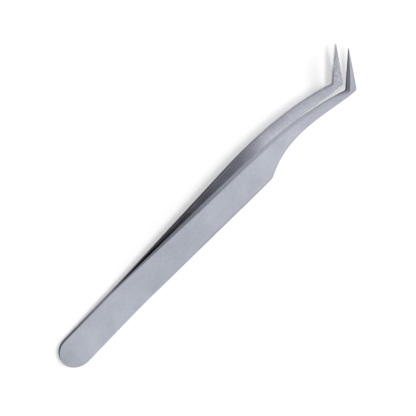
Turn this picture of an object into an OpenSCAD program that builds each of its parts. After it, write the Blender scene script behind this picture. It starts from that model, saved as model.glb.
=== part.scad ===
// Angled needle nose tweezers: two mirror-image arms, stamped from stainless sheet, joined
// face to face at the tail, and ground to needle points beyond a sharp sideways bend.
// Millimetres and degrees. The pair is first made round its weld plane: X runs from the tail's
// end to the points, Y is across the arms, towards the side that the points turn to, and Z is
// square to the weld plane. It is then laid down on its lower arm, as it comes to rest.

/* [Tail and weld] */
// Width of each arm at its round tail end
tail_w = 10.2; // [8:0.1:12]
// Thickness of each arm's sheet at the tail
tail_t = 0.6; // [0.5:0.05:1.2]
// Length of the tail over which the two arms are joined
weld_len = 22; // [14:0.5:26]
// Length over which each arm bends away from the weld plane
spring_len = 7.5; // [4:0.5:12]

/* [Grip] */
// Length from the tail's end to the lower front corner of the grip
grip_len = 79.3; // [70:0.1:95]
// Width of each arm at the front of the grip
grip_w = 9.4; // [8:0.1:11]
// Thickness of each arm from the grip to the bend
grip_t = 1.45; // [1:0.05:2]
// Length over which the sheet grows from its tail thickness to its grip thickness
grow_len = 32; // [28:1:40]
// Angle of each arm's outer face to the weld plane along the grip
splay = 4.05; // [3:0.01:4.5]
// Distance of the point where the arm starts to level out, behind the grip's front corner
level_back = 9.5; // [4:0.5:14]
// Length over which the arm levels out
level_len = 14; // [8:0.5:20]
// Radius of the grip's lower front corner
corner_r = 3; // [1:0.5:5]

/* [Neck] */
// Length of the neck, from the grip's front corner to the outer corner of the bend, along X
neck_len = 35.3; // [28:0.1:45]
// Distance of the bend's outer corner below the centre line of the grip
neck_drop = 4.1; // [2:0.1:6]
// Angle of each arm to the weld plane along the neck
neck_splay = 1; // [0.5:0.05:2]
// Distance of the start of the neck's upper curve, behind the grip's front corner
back_lead = 7.5; // [4:0.5:12]
// Angle at which the neck's upper edge falls into the bend
back_fall = 20.4; // [15:0.1:26]
// Angle at which the neck's lower edge rises from the grip's front corner
belly_rise = 30.3; // [20:0.1:36]
// Angle at which the neck's lower edge falls into the bend
belly_fall = 8.5; // [4:0.1:14]

/* [Needle] */
// Length of the needle, from the bend to the point
needle_len = 12.2; // [8:0.1:15]
// Direction of the needle, from X towards Y
needle_dir = 55.5; // [40:0.1:70]
// Width across the bend, from its outer corner to its inner corner
bend_w = 3.35; // [2.6:0.05:4]
// Direction of that line across the bend, from X towards Y
bend_dir = 136; // [125:1:150]
// Width of the point
point_w = 0.2; // [0.1:0.05:0.5]
// Thickness of the point
point_t = 0.22; // [0.1:0.02:0.5]
// How late the needle's thickness falls off: 1 is a straight taper, more is a fuller needle
taper_power = 1.5; // [1:0.1:2.5]
// Radius in the inner corner of the bend
inner_r = 0.6; // [0.3:0.1:1]
// Radius on the outer corner of the bend
outer_r = 0.7; // [0.65:0.05:1]

/* [Edges] */
// Width of the ground bevel along the outer face's edges
bevel_w = 0.5; // [0.2:0.01:0.55]
// Depth of that bevel
bevel_d = 0.36; // [0.1:0.01:0.45]
// Width of the larger bevel at the needle's base, on the side that the needle turns to
inside_bevel_w = 0.8; // [0.3:0.01:0.9]
// Width of the larger bevel at the needle's base, round the outer corner of the bend
outside_bevel_w = 0.6; // [0.3:0.01:0.65]
// Depth of both larger bevels
needle_bevel_d = 0.75; // [0.3:0.01:0.8]
// Width and depth of the eased edge round the tail
tail_ease = 0.1; // [0.05:0.01:0.2]

/* [Hidden] */

steel = [0.70, 0.72, 0.76];

// Places along X
tail_r = tail_w / 2;
splay_x = weld_len + spring_len / 2;
level_x = grip_len - level_back;
back_x = grip_len - back_lead;

// The bend: its outer corner, its inner corner across the needle's base, and the point
outer_corner = [grip_len + neck_len, -neck_drop];
along = [cos(needle_dir), sin(needle_dir)];
across = [-sin(needle_dir), cos(needle_dir)];
inner_corner = outer_corner + bend_w * [cos(bend_dir), sin(bend_dir)];
base_centre = (outer_corner + inner_corner) / 2;
point = base_centre + needle_len * along;
back_point = point + point_w / 2 * across;
belly_point = point - point_w / 2 * across;

function limit(v, low, high) = min(max(v, low), high);
function mix(a, b, t) = a + (b - a) * t;
function unit(v) = v / norm(v);
function direction(a, b) = atan2(b.y - a.y, b.x - a.x);

// Rise of a line whose slope goes evenly from s0 to s1 between x = 0 and x = len, then stays s1
function ease_in(x, len, s0, s1) =
    let (d = limit(x, 0, len))
    s0 * d + (s1 - s0) * d * d / (2 * len) + s1 * max(x - len, 0);

// Cubic curve from point p to point q with the slopes sp and sq at its ends, at place x
function cubic(x, p, sp, q, sq) =
    let (len = q.x - p.x, t = (x - p.x) / len)
    p.y * (2 * t * t * t - 3 * t * t + 1) + len * sp * (t * t * t - 2 * t * t + t)
    + q.y * (3 * t * t - 2 * t * t * t) + len * sq * (t * t * t - t * t);

// Arc of radius r that rounds the corner c, where the heading turns from a to b, in n steps
function round_corner(c, a, b, r, n) =
    let (side = sign(b - a),
         start = c - r * tan(abs(b - a) / 2) * [cos(a), sin(a)],
         centre = start + side * r * [-sin(a), cos(a)])
    [for (k = [0 : n])
        let (h = mix(a, b, k / n))
        centre + side * r * [sin(h), -cos(h)]];

// Side profile: heights over the weld plane at place x
function growth(x) = limit((x - splay_x) / grow_len, 0, 1);
function sheet_t(x) = mix(tail_t, grip_t, growth(x));
function outer_z(x) =
    tail_t + ease_in(x - weld_len, spring_len, 0, tan(splay))
    - ease_in(x - level_x, level_len, 0, tan(splay) - tan(neck_splay));
function inner_z(x) = max(outer_z(x) - sheet_t(x), 0);

// How far a point lies along the needle: 0 at the bend, 1 at the tip
function reach(p) = limit((p - base_centre) * along / needle_len, 0, 1);
function thickness(p) = mix(sheet_t(p.x), point_t, pow(reach(p), taper_power));
function top_z(p) = inner_z(p.x) + thickness(p);

// Size of the bevel at a point: eased at the tail, full along the arm, larger at the needle's base
// and again smaller with the needle's thickness, where it keeps to this share of the width
bevel_share = 0.4;
function bevel(p, side, arm_size, needle_size) =
    let (corner_x = side == 0 ? inner_corner.x : outer_corner.x,
         turned = limit(1 - (corner_x - p.x) / bend_w, 0, 1),
         size = mix(mix(tail_ease, arm_size, growth(p.x)), needle_size, turned))
    min(size * thickness(p) / sheet_t(p.x), bevel_share * mix(bend_w, point_w, reach(p)));

// Plan outline: the straight edges of the blade, then the curves of the neck
blade_slope = (tail_w - grip_w) / 2 / (back_x - tail_r);
function blade_half(x) = tail_r - blade_slope * (x - tail_r);
grip_corner = [grip_len, -blade_half(grip_len)];
function back_y(x) = x < back_x ? blade_half(x)
    : cubic(x, [back_x, blade_half(back_x)], -blade_slope, back_end, -tan(back_fall));
function belly_y(x) = x < grip_len ? -blade_half(x)
    : cubic(x, corner_end, tan(belly_rise), belly_end, -tan(belly_fall));

// Steps round the tail, along each straight or curved stretch, and round a corner
tail_steps = 10;
spring_steps = 6;
blade_steps = 4;
lead_steps = 4;
neck_steps = 24;
corner_steps = 5;
needle_steps = 12;

grip_round = round_corner(grip_corner, atan(blade_slope), belly_rise, corner_r, corner_steps);
back_round = round_corner(inner_corner, -back_fall, direction(inner_corner, back_point),
                          inner_r, corner_steps);
belly_round = round_corner(outer_corner, -belly_fall, direction(outer_corner, belly_point),
                           outer_r, corner_steps);
corner_start = grip_round[0];
corner_end = grip_round[corner_steps];
back_end = back_round[0];
belly_end = belly_round[0];

// Places of the sections along the blade, where both edges share one X
blade_x = concat(
    [for (k = [1 : blade_steps]) mix(tail_r, weld_len, k / blade_steps)],
    [for (k = [1 : spring_steps]) weld_len + spring_len * k / spring_steps],
    [for (k = [1 : blade_steps]) mix(weld_len + spring_len, splay_x + grow_len, k / blade_steps)],
    [level_x, back_x]);

// Each section is a pair of points, one on the upper edge and one on the lower edge
tail_pairs = [for (k = [0 : tail_steps])
    let (a = 90 * (k + 0.5) / (tail_steps + 0.5), x = tail_r * (1 - cos(a)), y = tail_r * sin(a))
    [[x, y], [x, -y]]];
blade_pairs = [for (x = blade_x) [[x, back_y(x)], [x, belly_y(x)]]];
neck_lower = concat(
    [for (k = [1 : lead_steps - 1])
        let (x = mix(back_x, corner_start.x, k / lead_steps)) [x, belly_y(x)]],
    grip_round,
    [for (k = [1 : neck_steps - 1])
        let (x = mix(corner_end.x, belly_end.x, k / neck_steps)) [x, belly_y(x)]]);
neck_pairs = [for (p = neck_lower)
    let (x = mix(back_x, back_end.x, (p.x - back_x) / (belly_end.x - back_x)))
    [[x, back_y(x)], p]];
bend_pairs = [for (k = [0 : corner_steps]) [back_round[k], belly_round[k]]];
needle_pairs = [for (k = [1 : needle_steps])
    [mix(back_round[corner_steps], back_point, k / needle_steps),
     mix(belly_round[corner_steps], belly_point, k / needle_steps)]];
pairs = concat(tail_pairs, blade_pairs, neck_pairs, bend_pairs, needle_pairs);
last = len(pairs) - 1;

// Unit direction of an edge at section i, side 0 for the upper edge and 1 for the lower one
function heading(i, side) = unit(pairs[min(i + 1, last)][side] - pairs[max(i - 1, 0)][side]);
function inward(i, side) =
    let (h = heading(i, side))
    side == 0 ? [h.y, -h.x] : [-h.y, h.x];

// Inner face, top of the side wall and edge of the outer face, on one side of section i
function edge_points(i, side) =
    let (p = pairs[i][side],
         needle_bevel_w = side == 0 ? inside_bevel_w : outside_bevel_w,
         q = p + bevel(p, side, bevel_w, needle_bevel_w) * inward(i, side))
    [[p.x, p.y, inner_z(p.x)],
     [p.x, p.y, top_z(p) - bevel(p, side, bevel_d, needle_bevel_d)],
     [q.x, q.y, top_z(q)]];
function section(i) =
    let (a = edge_points(i, 0), b = edge_points(i, 1))
    [a[0], a[1], a[2], b[2], b[1], b[0]];

sides = 6;
arm_points = [for (i = [0 : last]) each section(i)];
skin_faces = [for (i = [0 : last - 1], k = [0 : sides - 1])
    let (j = (k + 1) % sides, a = i * sides, b = a + sides)
    each [[b + k, b + j, a + j], [b + k, a + j, a + k]]];
tail_cap = [[0, 1, 4, 5], [1, 2, 3, 4]];
point_cap = [for (f = tail_cap) [for (k = [3 : -1 : 0]) f[k] + last * sides]];

// The lower arm touches the table with its tail's end and with the front of its grip
tail_touch = arm_points[2];
rest_tilt = atan(max([for (p = arm_points) if (p.x > weld_len) (p.z - tail_t) / (p.x - tail_touch.x)]));
function laid(p) = [p.x * cos(rest_tilt) - p.z * sin(rest_tilt), p.y,
                    p.x * sin(rest_tilt) + p.z * cos(rest_tilt)];
laid_points = [for (p = arm_points, s = [-1, 1]) laid([p.x, p.y, s * p.z])];
low = [for (k = [0 : 2]) min([for (p = laid_points) p[k]])];
high = [for (k = [0 : 2]) max([for (p = laid_points) p[k]])];

// Lays the pair down, with the middle of its outline over the origin
module lay_down() {
    translate([-(low.x + high.x) / 2, -(low.y + high.y) / 2, -low.z])
        rotate([0, -rest_tilt, 0])
            children();
}

// One arm, with its flat inner face towards the weld plane
module arm() {
    polyhedron(points = arm_points, faces = concat(skin_faces, tail_cap, point_cap), convexity = 6);
}

module upper_arm() {
    color(steel)
        lay_down() arm();
}

module lower_arm() {
    color(steel)
        lay_down() mirror([0, 0, 1]) arm();
}

lower_arm();
upper_arm();
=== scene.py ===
import math

import bpy
from mathutils import Matrix, Vector


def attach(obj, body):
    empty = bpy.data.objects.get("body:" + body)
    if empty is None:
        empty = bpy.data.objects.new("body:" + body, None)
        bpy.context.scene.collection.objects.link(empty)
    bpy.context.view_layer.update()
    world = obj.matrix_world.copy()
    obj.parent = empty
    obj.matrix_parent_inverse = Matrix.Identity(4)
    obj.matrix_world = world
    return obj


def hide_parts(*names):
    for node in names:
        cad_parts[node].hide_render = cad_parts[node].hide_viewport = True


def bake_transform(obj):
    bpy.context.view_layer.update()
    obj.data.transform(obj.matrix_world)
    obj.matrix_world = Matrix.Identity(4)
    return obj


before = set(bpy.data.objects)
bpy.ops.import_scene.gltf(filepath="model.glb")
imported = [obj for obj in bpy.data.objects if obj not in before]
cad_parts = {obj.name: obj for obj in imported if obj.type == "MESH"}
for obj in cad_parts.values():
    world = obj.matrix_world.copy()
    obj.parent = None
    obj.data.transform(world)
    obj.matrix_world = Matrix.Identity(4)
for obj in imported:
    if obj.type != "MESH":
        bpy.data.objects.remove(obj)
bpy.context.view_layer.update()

# Angled needle nose tweezers: two ground stainless arms, joined at the tail.
# Sizes are in millimetres and degrees, in the pair's own frame: X runs from the tail's end to the
# points, Y is across the arms and Z is square to the weld plane.
MM = 0.001

# Tail and weld
TAIL_W = 10.2  # width of each arm at its round tail
TAIL_T = 0.6  # thickness of each arm's sheet at the tail
WELD_LEN = 22.0  # length over which the two arms are joined
SPRING_LEN = 7.5  # length over which each arm bends away from the weld plane

# Grip
GRIP_LEN = 79.3  # from the tail's end to the grip's lower front corner
GRIP_W = 9.4  # width of each arm at the front of the grip
GRIP_T = 1.45  # thickness of each arm from the grip to the bend
GROW_LEN = 32.0  # length over which the sheet grows to that thickness
SPLAY = 4.05  # angle of each arm's outer face to the weld plane
LEVEL_BACK = 9.5  # where the arm starts to level out, behind the grip's front corner
LEVEL_LEN = 14.0  # length over which it levels out
CORNER_R = 3.0  # radius of the grip's lower front corner

# Neck
NECK_LEN = 35.3  # from the grip's front corner to the outer corner of the bend
NECK_DROP = 4.1  # how far that outer corner lies below the grip's centre line
NECK_SPLAY = 1.0  # angle of each arm to the weld plane along the neck
BACK_LEAD = 7.5  # where the neck's upper curve starts, behind the grip's front corner
BACK_FALL = 20.4  # angle at which the upper edge falls into the bend
BELLY_RISE = 30.3  # angle at which the lower edge rises from the grip's front corner
BELLY_FALL = 8.5  # angle at which the lower edge falls into the bend

# Needle
NEEDLE_LEN = 12.2  # from the bend to the point
NEEDLE_DIR = 55.5  # direction of the needle, from X towards Y
BEND_W = 3.35  # width across the bend, from its outer corner to its inner corner
BEND_DIR = 136.0  # direction of that line across the bend
POINT_W = 0.2  # width of the point
POINT_T = 0.22  # thickness of the point
TAPER_POWER = 1.5  # how late the thickness falls off: 1 is a straight taper
INNER_R = 0.6  # radius in the inner corner of the bend
OUTER_R = 0.7  # radius on the outer corner of the bend

# Edges
BEVEL_W = 0.5  # width of the ground bevel along the outer face's edges
BEVEL_D = 0.36  # depth of that bevel
INSIDE_BEVEL_W = 0.8  # width of the bevel at the needle's base, on the side that it turns to
OUTSIDE_BEVEL_W = 0.6  # width of the bevel round the outer corner of the bend
NEEDLE_BEVEL_D = 0.75  # depth of both larger bevels
BEVEL_SHARE = 0.4  # the most of the needle's width that one bevel takes
TAIL_EASE = 0.1  # width and depth of the eased edge round the tail
STONED_R = 0.05  # radius to which every corner is lightly stoned
LEAST_STONED = 0.2  # share of that radius that is left at the thin points

# Steps along each stretch of an arm
TAIL_STEPS = 30
SPRING_STEPS = 14
BLADE_STEPS = 12
LEAD_STEPS = 10
NECK_STEPS = 60
CORNER_STEPS = 10
NEEDLE_STEPS = 30
# The first step round the tail stands at this angle, which leaves a flat under 1 mm wide at its end
FIRST_TAIL_ANGLE = 90 / 21


def sine(a):
    return math.sin(math.radians(a))


def cosine(a):
    return math.cos(math.radians(a))


def slope(a):
    return math.tan(math.radians(a))


def limit(v, low, high):
    return min(max(v, low), high)


def mix(a, b, t):
    return a + (b - a) * t


def steps(n):
    """The shares 1/n, 2/n, ... 1."""
    return [k / n for k in range(1, n + 1)]


def direction(a, b):
    return math.degrees(math.atan2(b.y - a.y, b.x - a.x))


def ease_in(x, length, s0, s1):
    """Rise of a line whose slope goes evenly from s0 to s1 over that length, then stays s1."""
    d = limit(x, 0, length)
    return s0 * d + (s1 - s0) * d * d / (2 * length) + s1 * max(x - length, 0)


def cubic(x, p, sp, q, sq):
    """Height at x of the cubic from p to q that has the slopes sp and sq at its ends."""
    length = q.x - p.x
    t = (x - p.x) / length
    return (p.y * (2 * t**3 - 3 * t * t + 1) + length * sp * (t**3 - 2 * t * t + t)
            + q.y * (3 * t * t - 2 * t**3) + length * sq * (t**3 - t * t))


def round_corner(corner, a, b, r):
    """Arc that rounds a corner where the heading turns from a to b."""
    side = 1 if b > a else -1
    start = corner - r * slope(abs(b - a) / 2) * Vector((cosine(a), sine(a)))
    centre = start + side * r * Vector((-sine(a), cosine(a)))
    turns = [mix(a, b, k / CORNER_STEPS) for k in range(CORNER_STEPS + 1)]
    return [centre + side * r * Vector((sine(h), -cosine(h))) for h in turns]


# Places along the arm that follow from the sizes
TAIL_R = TAIL_W / 2
SPLAY_X = WELD_LEN + SPRING_LEN / 2
LEVEL_X = GRIP_LEN - LEVEL_BACK
BACK_X = GRIP_LEN - BACK_LEAD
BLADE_SLOPE = (TAIL_W - GRIP_W) / 2 / (BACK_X - TAIL_R)
ALONG = Vector((cosine(NEEDLE_DIR), sine(NEEDLE_DIR)))
ACROSS = Vector((-sine(NEEDLE_DIR), cosine(NEEDLE_DIR)))
OUTER_CORNER = Vector((GRIP_LEN + NECK_LEN, -NECK_DROP))
INNER_CORNER = OUTER_CORNER + BEND_W * Vector((cosine(BEND_DIR), sine(BEND_DIR)))
BASE_CENTRE = (OUTER_CORNER + INNER_CORNER) / 2
POINT = BASE_CENTRE + NEEDLE_LEN * ALONG
BACK_POINT = POINT + POINT_W / 2 * ACROSS
BELLY_POINT = POINT - POINT_W / 2 * ACROSS


def growth(x):
    """How far the sheet has grown to its grip thickness: 0 at the tail, 1 along the grip."""
    return limit((x - SPLAY_X) / GROW_LEN, 0, 1)


def sheet_t(x):
    return mix(TAIL_T, GRIP_T, growth(x))


def outer_z(x):
    """Height of the outer face over the weld plane, as if the needle had no taper."""
    return (TAIL_T + ease_in(x - WELD_LEN, SPRING_LEN, 0, slope(SPLAY))
            - ease_in(x - LEVEL_X, LEVEL_LEN, 0, slope(SPLAY) - slope(NECK_SPLAY)))


def inner_z(x):
    """Height of the inner face over the weld plane, on which it lies at the tail."""
    return max(outer_z(x) - sheet_t(x), 0)


def reach(p):
    """How far a point lies along the needle: 0 at the bend, 1 at the tip."""
    return limit((p - BASE_CENTRE) @ ALONG / NEEDLE_LEN, 0, 1)


def thickness(p):
    return mix(sheet_t(p.x), POINT_T, reach(p)**TAPER_POWER)


def top_z(p):
    return inner_z(p.x) + thickness(p)


def bevel(p, side, arm_size, needle_size):
    """Size of a bevel: eased at the tail, full along the arm, larger at the needle's base."""
    corner_x = OUTER_CORNER.x if side else INNER_CORNER.x
    turned = limit(1 - (corner_x - p.x) / BEND_W, 0, 1)
    size = mix(mix(TAIL_EASE, arm_size, growth(p.x)), needle_size, turned)
    return min(size * thickness(p) / sheet_t(p.x), BEVEL_SHARE * mix(BEND_W, POINT_W, reach(p)))


def blade_half(x):
    return TAIL_R - BLADE_SLOPE * (x - TAIL_R)


def edge_pairs():
    """Points on the upper and lower edge of an arm's outline, from the tail's end to the point."""
    grip_corner = Vector((GRIP_LEN, -blade_half(GRIP_LEN)))
    grip_round = round_corner(grip_corner, math.degrees(math.atan(BLADE_SLOPE)), BELLY_RISE, CORNER_R)
    back_round = round_corner(INNER_CORNER, -BACK_FALL, direction(INNER_CORNER, BACK_POINT), INNER_R)
    belly_round = round_corner(OUTER_CORNER, -BELLY_FALL, direction(OUTER_CORNER, BELLY_POINT), OUTER_R)
    lead_start = Vector((BACK_X, blade_half(BACK_X)))

    def back(x):
        y = blade_half(x) if x < BACK_X else cubic(
            x, lead_start, -BLADE_SLOPE, back_round[0], -slope(BACK_FALL))
        return Vector((x, y))

    def belly(x):
        y = -blade_half(x) if x < GRIP_LEN else cubic(
            x, grip_round[-1], slope(BELLY_RISE), belly_round[0], -slope(BELLY_FALL))
        return Vector((x, y))

    pairs = []
    for t in [0] + steps(TAIL_STEPS):
        a = mix(FIRST_TAIL_ANGLE, 90, t)
        x, y = TAIL_R * (1 - cosine(a)), TAIL_R * sine(a)
        pairs.append((Vector((x, y)), Vector((x, -y))))
    spring_end = WELD_LEN + SPRING_LEN
    blade = [mix(TAIL_R, WELD_LEN, t) for t in steps(BLADE_STEPS)]
    blade += [mix(WELD_LEN, spring_end, t) for t in steps(SPRING_STEPS)]
    blade += [mix(spring_end, SPLAY_X + GROW_LEN, t) for t in steps(BLADE_STEPS)]
    blade += [mix(SPLAY_X + GROW_LEN, LEVEL_X, t) for t in steps(BLADE_STEPS)] + [BACK_X]
    pairs += [(back(x), belly(x)) for x in blade]
    lower = [belly(mix(BACK_X, grip_round[0].x, t)) for t in steps(LEAD_STEPS)[:-1]]
    lower += grip_round
    lower += [belly(mix(grip_round[-1].x, belly_round[0].x, t)) for t in steps(NECK_STEPS)[:-1]]
    neck_span = belly_round[0].x - BACK_X
    for p in lower:
        pairs.append((back(mix(BACK_X, back_round[0].x, (p.x - BACK_X) / neck_span)), p))
    pairs += zip(back_round, belly_round)
    for t in steps(NEEDLE_STEPS):
        pairs.append((back_round[-1].lerp(BACK_POINT, t), belly_round[-1].lerp(BELLY_POINT, t)))
    return pairs


def stoned(a, corner, b, r):
    """Three points that round a corner of the section lightly, between its neighbours a and b."""
    u, v = (corner - a).normalized(), (b - corner).normalized()
    cut = r * math.tan(u.angle(v) / 2)
    start, end = corner - cut * u, corner + cut * v
    half = math.cos(u.angle(v) / 2)
    return [start, ((start + end) / 2).lerp(corner, half / (1 + half)), end]


def half_section(pairs, i, side):
    """The inner face's edge, the wall, the bevel and the outer face's edge on one side."""
    p = pairs[i][side]
    heading = (pairs[min(i + 1, len(pairs) - 1)][side] - pairs[max(i - 1, 0)][side]).normalized()
    inward = Vector((heading.y, -heading.x)) if side == 0 else Vector((-heading.y, heading.x))
    q = p + bevel(p, side, BEVEL_W, OUTSIDE_BEVEL_W if side else INSIDE_BEVEL_W) * inward
    foot = Vector((p.x, p.y, inner_z(p.x)))
    wall = Vector((p.x, p.y, top_z(p) - bevel(p, side, BEVEL_D, NEEDLE_BEVEL_D)))
    face = Vector((q.x, q.y, top_z(q)))
    ahead = Vector((inward.x, inward.y, 0))
    r = STONED_R * limit(thickness(p) / TAIL_T, LEAST_STONED, 1)
    return (stoned(foot + ahead, foot, wall, r) + stoned(foot, wall, face, r)
            + stoned(wall, face, face + ahead, r))


# Finish at each point of a half section, from the inner face round to the outer face
SECTION_FINISH = ("inner", "inner", "wall", "wall", "wall", "bevel", "bevel", "face", "face")

# How light each surface is along an arm, as sRGB tones at places in mm from the tail's end; the
# bevels, walls and inner faces also carry painted shade and painted reflections
FACE_TONES = ((0.5, "#A6AAB5"), (7, "#B3B7C2"), (26, "#B3B7C2"), (42, "#AFB3BE"), (64, "#B3B7C2"),
              (80, "#B9BDC8"), (96, "#B9BDC8"), (107, "#B0B4BF"))
# Painted shade on the bevels, darker than the faces and darkest round the tail's end
BEVEL_TONES = ((1, "#34373F"), (8, "#5E626D"), (15, "#777B86"), (34, "#868A95"), (44, "#757984"),
               (58, "#797D88"), (70, "#8D919C"), (78, "#9599A4"), (88, "#ACB0BB"))
# Painted shade on the upper arm's wall, standing in for the shaded floor that it mirrors
UPPER_WALL_TONES = ((2, "#50545E"), (10, "#666A74"), (18, "#7E828D"), (25, "#7E828D"), (32, "#6E727D"),
                    (41, "#6C707A"), (56, "#70747E"), (66, "#8A8E98"), (76, "#9296A1"), (88, "#A0A4AF"),
                    (98, "#9DA1AC"), (112, "#9296A1"))
# Painted shade on the lower arm's wall: near black along the slot between the arms, lighter towards the
# bend
LOWER_WALL_TONES = ((2, "#50545E"), (10, "#666A74"), (18, "#7A7E89"), (23, "#6E727D"), (29, "#2A2B31"),
                    (44, "#202126"), (58, "#33343A"), (76, "#6C6E77"), (90, "#A6A9B3"))
# Painted shade and reflection on the inner faces: near black deep in the slot, lighter where it opens
# towards the bend
INNER_TONES = ((34, "#2A2A30"), (39, "#4C4C52"), (42, "#68686E"), (52, "#A2A2A9"), (60, "#ACADB5"),
               (66, "#B6B7C0"), (76, "#B2B4BC"), (86, "#D0D2DB"), (96, "#BFC2CB"), (104, "#BBBEC7"),
               (111, "#B2B5BE"))
# Painted shade on the needles' walls and bevels, for the dark surroundings that they mirror
NEEDLE_PAINTED_SHADE = {"wall": "#383A45", "bevel": "#6E707D"}
# Lighter painted shade on the lower needle's walls
LOWER_NEEDLE_WALL_SHADE = "#8E909A"
# Share of the needle's painted shade that the rounded corner of the bend already has
CORNER_NEEDLE_SHARE = 0.9
# The inner faces are ground across from here to the points, and mottled on the needles
CROSS_GROUND_FROM = 80.0
CROSS_GROUND_FADE = 6.0
# Weight of the broad flat faces against the rounded corners in the shading: 50 is even, 100 the most
FLAT_FACE_WEIGHT = 100


def tone_along(tones, x):
    """The linear tone at that place, between the nearest two of the list."""
    x = limit(x, tones[0][0], tones[-1][0])
    for (x0, c0), (x1, c1) in zip(tones, tones[1:]):
        if x <= x1:
            return Vector(linear(c0)).lerp(Vector(linear(c1)), (x - x0) / (x1 - x0))


def needle_share(p, side):
    """0 on the neck and 1 on the needle, changing over the rounded corner of the bend."""
    corner = OUTER_CORNER if side else INNER_CORNER
    return limit(CORNER_NEEDLE_SHARE + (p.xy - corner) @ ALONG / (2 * INNER_R), 0, 1)


def finish_of(p, side, k, lower):
    """Tone at a point of a section, painted shade included, and its cross ground and mottled shares."""
    finish = SECTION_FINISH[k]
    # Beside the slot the lower arm's wall gets painted shade, darker than the upper arm's wall
    by_slot = lower and side == 0
    tones = {"face": FACE_TONES, "bevel": BEVEL_TONES, "inner": INNER_TONES,
             "wall": LOWER_WALL_TONES if by_slot else UPPER_WALL_TONES}[finish]
    tone = tone_along(tones, p.x)
    needle = needle_share(p, side)
    if finish in NEEDLE_PAINTED_SHADE:
        # On the needles the walls and bevels take their painted shade
        ground = LOWER_NEEDLE_WALL_SHADE if lower and finish == "wall" else NEEDLE_PAINTED_SHADE[finish]
        tone = tone.lerp(Vector(linear(ground)), needle)
    crossed = limit((p.x - CROSS_GROUND_FROM) / CROSS_GROUND_FADE, 0, 1) if finish == "inner" else 0
    return tone, Vector((crossed, needle if finish == "inner" else 0, 0))


def arm_mesh(name, lower):
    """One arm as a closed mesh, whose vertices keep their place in mm, their tone with painted shade
    and their grinding.
    """
    pairs = edge_pairs()
    rings = []
    for i in range(len(pairs)):
        rings.append(half_section(pairs, i, 0) + half_section(pairs, i, 1)[::-1])
    size = len(rings[0])
    half = size // 2
    places = [p for ring in rings for p in ring]
    faces = []
    for i in range(len(rings) - 1):
        a, b = i * size, (i + 1) * size
        faces += [(a + k, a + (k + 1) % size, b + (k + 1) % size, b + k) for k in range(size)]
    last = (len(rings) - 1) * size
    for k in range(half - 1):
        tail_end = (k, size - 1 - k, size - 2 - k, k + 1)
        faces.append(tail_end)
        faces.append(tuple(last + j for j in reversed(tail_end)))
    mirror = -1 if lower else 1
    if lower:
        faces = [tuple(reversed(f)) for f in faces]
    places = [Vector((p.x, p.y, mirror * p.z)) for p in places]
    mesh = bpy.data.meshes.new(name)
    mesh.from_pydata([lay_down(p) for p in places], [], faces)
    mesh.update()
    place = mesh.attributes.new("arm_place", "FLOAT_VECTOR", "POINT")
    place.data.foreach_set("vector", [v for p in places for v in p])
    finishes = []
    for i, p in enumerate(places):
        k = i % size
        side = 0 if k < half else 1
        finishes.append(finish_of(p, side, min(k, size - 1 - k), lower))
    # Each point's steel tone, with its painted shade
    tone = mesh.attributes.new("steel_tone_and_painted_shade", "FLOAT_COLOR", "POINT")
    tone.data.foreach_set("color", [v for finish in finishes for v in finish[0]])
    grinding = mesh.attributes.new("grinding", "FLOAT_VECTOR", "POINT")
    grinding.data.foreach_set("vector", [v for finish in finishes for v in finish[1]])
    arm = bpy.data.objects.new(name, mesh)
    bpy.context.scene.collection.objects.link(arm)
    for polygon in mesh.polygons:
        polygon.use_smooth = True
    normals = arm.modifiers.new("flat faces shade flat", "WEIGHTED_NORMAL")
    normals.weight = FLAT_FACE_WEIGHT
    return arm


# Places tested on each mm of the arm to find where it touches the table
TESTS_PER_MM = 100


def rest_tilt():
    """The tilt at which the lower arm touches the table with its tail's end and its grip."""
    steepest = 0
    for k in range(int(WELD_LEN) * TESTS_PER_MM, int(GRIP_LEN + NECK_LEN) * TESTS_PER_MM):
        x = k / TESTS_PER_MM
        steepest = max(steepest, (outer_z(x) - TAIL_T) / x)
    return math.degrees(math.atan(steepest))


TILT = rest_tilt()
LAID = Matrix.Rotation(math.radians(-TILT), 3, "Y")


def laid_out():
    """Corners of the box round both arms, before they are moved over the origin."""
    pairs = edge_pairs()
    points = []
    for i in range(len(pairs)):
        for side in (0, 1):
            for p in half_section(pairs, i, side):
                points += [LAID @ p, LAID @ Vector((p.x, p.y, -p.z))]
    low = Vector([min(p[k] for p in points) for k in range(3)])
    high = Vector([max(p[k] for p in points) for k in range(3)])
    return low, high


LOW, HIGH = laid_out()
SHIFT = Vector((-(LOW.x + HIGH.x) / 2, -(LOW.y + HIGH.y) / 2, -LOW.z))


def lay_down(p):
    """A point of the pair's frame, in mm, to its place on the table, in metres."""
    return (LAID @ p + SHIFT) * MM


def linear(colour):
    """An sRGB hex colour as linear RGBA."""
    channels = [int(colour[k:k + 2], 16) / 255 for k in (1, 3, 5)]
    return [c / 12.92 if c <= 0.04045 else ((c + 0.055) / 1.055)**2.4 for c in channels] + [1]


def add(tree, kind, settings=None, links=None):
    """A node of that kind, with its settings, and with its inputs set or linked."""
    node = tree.nodes.new(kind)
    for key, value in (settings or {}).items():
        setattr(node, key, value)
    for key, value in (links or {}).items():
        if isinstance(value, bpy.types.NodeSocket):
            tree.links.new(value, node.inputs[key])
        else:
            node.inputs[key].default_value = value
    return node


# Grinding lines: the real ones are about 0.03 mm apart, drawn coarser so that they show
GRAIN_W = 0.12
GRAIN_L = 6.0
CROSS_GRAIN_W = 0.45
CROSS_GRAIN_L = 3.0
# Blotches of handling and polish are a few millimetres across, and the mottling under a millimetre
BLOTCH = 7.0
BLOTCH_DEPTH = 0.38
MOTTLE = 0.7
# How deeply the lines and the mottling change the tone: elsewhere, and where the steel is cross
# ground or mottled
LINE_DEPTH = (0.2, 0.3)
MOTTLE_DEPTH = (0.38, 2.2)
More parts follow.
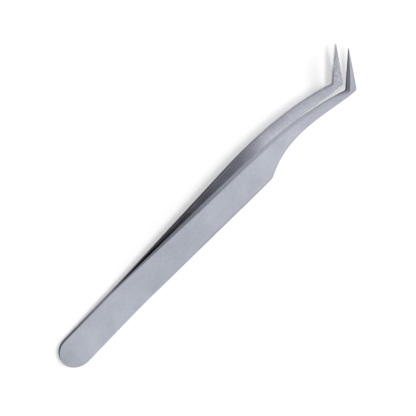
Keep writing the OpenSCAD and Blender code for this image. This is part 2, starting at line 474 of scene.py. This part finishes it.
# How many ever finer layers each noise has, and how strong each layer is against the one before
LINE_LAYERS = 4.0
CROSS_LINE_LAYERS = 3.0
LINE_LAYER_SHARE = 0.6
BLOTCH_LAYERS = 3.0
MOTTLE_LAYERS = 5.0
MOTTLE_LAYER_SHARE = 0.75
# Range of the blotch noise and the roughness of the ground steel over it, and how far the lines
# stand out and their height in mm
BLOTCH_RANGE = (0.3, 0.7)
ROUGHNESS = (0.36, 0.44)
LINE_RELIEF = 0.25
LINE_HEIGHT = 0.01


def ground_stainless():
    """Stainless sheet, stamped and ground: cool grey with painted shade, an even soft gloss and fine
    lines.
    """
    material = bpy.data.materials.new("satin_ground_stainless")
    material.use_nodes = True
    tree = material.node_tree
    tree.nodes.clear()
    place = add(tree, "ShaderNodeAttribute", {"attribute_name": "arm_place"}).outputs["Vector"]
    # The arms' tones, with their painted shade and painted reflections
    tone = add(tree, "ShaderNodeAttribute", {"attribute_name": "steel_tone_and_painted_shade"}).outputs["Color"]
    grinding = add(tree, "ShaderNodeAttribute", {"attribute_name": "grinding"}).outputs["Vector"]
    shares = add(tree, "ShaderNodeSeparateXYZ", {}, {0: grinding}).outputs
    crossed, mottled = shares[0], shares[1]

    along = add(tree, "ShaderNodeVectorMath", {"operation": "MULTIPLY"},
                {0: place, 1: (1 / GRAIN_L, 1 / GRAIN_W, 1 / GRAIN_W)}).outputs[0]
    across = add(tree, "ShaderNodeVectorMath", {"operation": "MULTIPLY"},
                 {0: place, 1: (1 / CROSS_GRAIN_W, 1 / CROSS_GRAIN_L, 1 / CROSS_GRAIN_W)}).outputs[0]
    long_lines = add(tree, "ShaderNodeTexNoise", {},
                     {"Vector": along, "Scale": 1.0, "Detail": LINE_LAYERS,
                      "Roughness": LINE_LAYER_SHARE}).outputs[0]
    cross_lines = add(tree, "ShaderNodeTexNoise", {},
                      {"Vector": across, "Scale": 1.0, "Detail": CROSS_LINE_LAYERS,
                       "Roughness": LINE_LAYER_SHARE}).outputs[0]
    # Inputs 2 and 3 of a Mix node are its two plain values
    lines = add(tree, "ShaderNodeMix", {},
                {"Factor": crossed, 2: long_lines, 3: cross_lines}).outputs[0]
    blotch = add(tree, "ShaderNodeTexNoise", {},
                 {"Vector": place, "Scale": 1 / BLOTCH, "Detail": BLOTCH_LAYERS}).outputs[0]
    mottle = add(tree, "ShaderNodeTexNoise", {},
                 {"Vector": place, "Scale": 1 / MOTTLE, "Detail": MOTTLE_LAYERS,
                  "Roughness": MOTTLE_LAYER_SHARE}).outputs[0]

    line_depth = add(tree, "ShaderNodeMapRange", {},
                     {"Value": crossed, "To Min": LINE_DEPTH[0], "To Max": LINE_DEPTH[1]}).outputs[0]
    mottle_depth = add(tree, "ShaderNodeMapRange", {},
                       {"Value": mottled, "To Min": MOTTLE_DEPTH[0],
                        "To Max": MOTTLE_DEPTH[1]}).outputs[0]
    level = 1.0
    for noise, depth in ((lines, line_depth), (blotch, BLOTCH_DEPTH), (mottle, mottle_depth)):
        centred = add(tree, "ShaderNodeMath", {"operation": "SUBTRACT"}, {0: noise, 1: 0.5}).outputs[0]
        level = add(tree, "ShaderNodeMath", {"operation": "MULTIPLY_ADD"},
                    {0: centred, 1: depth, 2: level}).outputs[0]
    colour = add(tree, "ShaderNodeVectorMath", {"operation": "SCALE"},
                 {0: tone, "Scale": level}).outputs[0]
    rough = add(tree, "ShaderNodeMapRange", {},
                {"Value": blotch, "From Min": BLOTCH_RANGE[0], "From Max": BLOTCH_RANGE[1],
                 "To Min": ROUGHNESS[0], "To Max": ROUGHNESS[1]}).outputs[0]
    bump = add(tree, "ShaderNodeBump", {},
               {"Height": lines, "Strength": LINE_RELIEF, "Distance": LINE_HEIGHT * MM}).outputs[0]
    surface = add(tree, "ShaderNodeBsdfPrincipled", {},
                  {"Base Color": colour, "Metallic": 1.0, "Roughness": rough, "Normal": bump})
    add(tree, "ShaderNodeOutputMaterial", {}, {"Surface": surface.outputs[0]})
    return material


def arms():
    """Both arms, in place of the plain CAD ones."""
    finish = ground_stainless()
    lower = arm_mesh("lower_arm_ground", True)
    upper = arm_mesh("upper_arm_ground", False)
    for arm, node in ((lower, "lower_arm"), (upper, "upper_arm")):
        arm.data.materials.append(finish)
        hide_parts(node)
    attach(lower, "lower")
    # The upper arm springs just ahead of the weld, and its tail stays joined
    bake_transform(upper)


# Camera, in the pair's frame: what it aims at, its distance, its lean back along the arms and its
# tilt from the vertical towards Y, its turn in the picture and the frame's width at the aim
AIM = Vector((60.267, 1.306, -0.1))
DISTANCE = 300.0
LEAN = 2.921
VIEW_TILT = 30.0
TURN = 45.82
FRAME_W = 119.226
# The aim appears this far right of and below the frame's middle, in mm at the aim
AIM_RIGHT = 0.109
AIM_DOWN = 0.18
SENSOR = 36.0
# Nearest and furthest distance that the camera sees, in metres
CLIP = (0.01, 20.0)


def camera():
    """The camera at the place from which the tweezers show as in the picture."""
    back = Vector((-sine(LEAN), sine(VIEW_TILT) * cosine(LEAN), cosine(VIEW_TILT) * cosine(LEAN)))
    x_axis = Vector((1, 0, 0))
    level = (x_axis - back * back.x).normalized()
    up = back.cross(level)
    right = cosine(TURN) * level - sine(TURN) * up
    top = sine(TURN) * level + cosine(TURN) * up
    aim = AIM - AIM_RIGHT * right + AIM_DOWN * top
    data = bpy.data.cameras.new("camera")
    data.sensor_width = SENSOR
    data.lens = SENSOR * DISTANCE / FRAME_W
    data.clip_start, data.clip_end = CLIP
    eye = bpy.data.objects.new("camera", data)
    axes = Matrix([LAID @ right, LAID @ top, LAID @ back]).transposed().to_4x4()
    eye.matrix_world = Matrix.Translation(lay_down(aim + DISTANCE * back)) @ axes
    bpy.context.scene.collection.objects.link(eye)
    bpy.context.scene.camera = eye
    bpy.context.scene.view_settings.view_transform = "Standard"


# The floor's width and the lamps' distance, in metres
FLOOR_SIZE = 3.0
LAMP_DISTANCE = 4.0
PAPER = "#FAFAFA"
WHITE = "#FFFFFF"
# The little light that the floor adds where it is seen, the level of the light from all round and
# the level at which the surround is seen and mirrored, where 1 is white
FLOOR_GLOW = 0.03
WORLD_LEVEL = 0.33
SEEN_LEVEL = 1.0
# Softboxes: the direction in which each stands, its width in metres and its watts
SOFTBOXES = {
    "front_softbox": ((0.62, -0.3, 1.0), 1.5, 48.0),
    "back_softbox": ((-0.24, 0.34, 1.0), 0.8, 66.0),
    "overhead_softbox": ((0.1, -0.22, 1.0), 0.8, 16.0),
}


def seen_rays(tree):
    """1 for rays of the camera and of reflections, 0 for the light on surfaces."""
    path = add(tree, "ShaderNodeLightPath")
    glossy = add(tree, "ShaderNodeMath", {"operation": "MAXIMUM"},
                 {0: path.outputs["Is Camera Ray"], 1: path.outputs["Is Glossy Ray"]}).outputs[0]
    return add(tree, "ShaderNodeMath", {"operation": "MAXIMUM"},
               {0: glossy, 1: path.outputs["Is Transmission Ray"]}).outputs[0]


def stage():
    """A white floor, an even white surround and soft lamps high over the floor."""
    mesh = bpy.data.meshes.new("floor")
    half = FLOOR_SIZE / 2
    corners = [(-half, -half, 0), (half, -half, 0), (half, half, 0), (-half, half, 0)]
    mesh.from_pydata(corners, [], [(0, 1, 2, 3)])
    floor = bpy.data.objects.new("floor", mesh)
    bpy.context.scene.collection.objects.link(floor)
    # Backdrop paper: matt and even, with no gloss
    white = bpy.data.materials.new("white_paper")
    white.use_nodes = True
    tree = white.node_tree
    tree.nodes.clear()
    paper = add(tree, "ShaderNodeBsdfDiffuse", {}, {"Color": linear(PAPER)})
    glow = add(tree, "ShaderNodeEmission", {}, {"Color": linear(WHITE), "Strength": FLOOR_GLOW})
    lit = add(tree, "ShaderNodeAddShader", {}, {0: paper.outputs[0], 1: glow.outputs[0]})
    both = add(tree, "ShaderNodeMixShader", {},
               {0: seen_rays(tree), 1: paper.outputs[0], 2: lit.outputs[0]})
    add(tree, "ShaderNodeOutputMaterial", {}, {"Surface": both.outputs[0]})
    mesh.materials.append(white)

    world = bpy.data.worlds.new("surround")
    world.use_nodes = True
    tree = world.node_tree
    tree.nodes.clear()
    light = add(tree, "ShaderNodeBackground", {}, {"Color": linear(WHITE), "Strength": WORLD_LEVEL})
    seen = add(tree, "ShaderNodeBackground", {}, {"Color": linear(WHITE), "Strength": SEEN_LEVEL})
    both = add(tree, "ShaderNodeMixShader", {},
               {0: seen_rays(tree), 1: light.outputs[0], 2: seen.outputs[0]})
    add(tree, "ShaderNodeOutputWorld", {}, {"Surface": both.outputs[0]})
    bpy.context.scene.world = world

    for name, (toward, width, watts) in SOFTBOXES.items():
        lamp = bpy.data.lights.new(name, "AREA")
        lamp.shape = "DISK"
        lamp.size = width
        lamp.energy = watts
        holder = bpy.data.objects.new(name, lamp)
        up = Vector(toward).normalized()
        holder.location = LAMP_DISTANCE * up
        holder.rotation_euler = up.to_track_quat("Z", "Y").to_euler()
        holder.visible_glossy = False
        bpy.context.scene.collection.objects.link(holder)


arms()
camera()
stage()
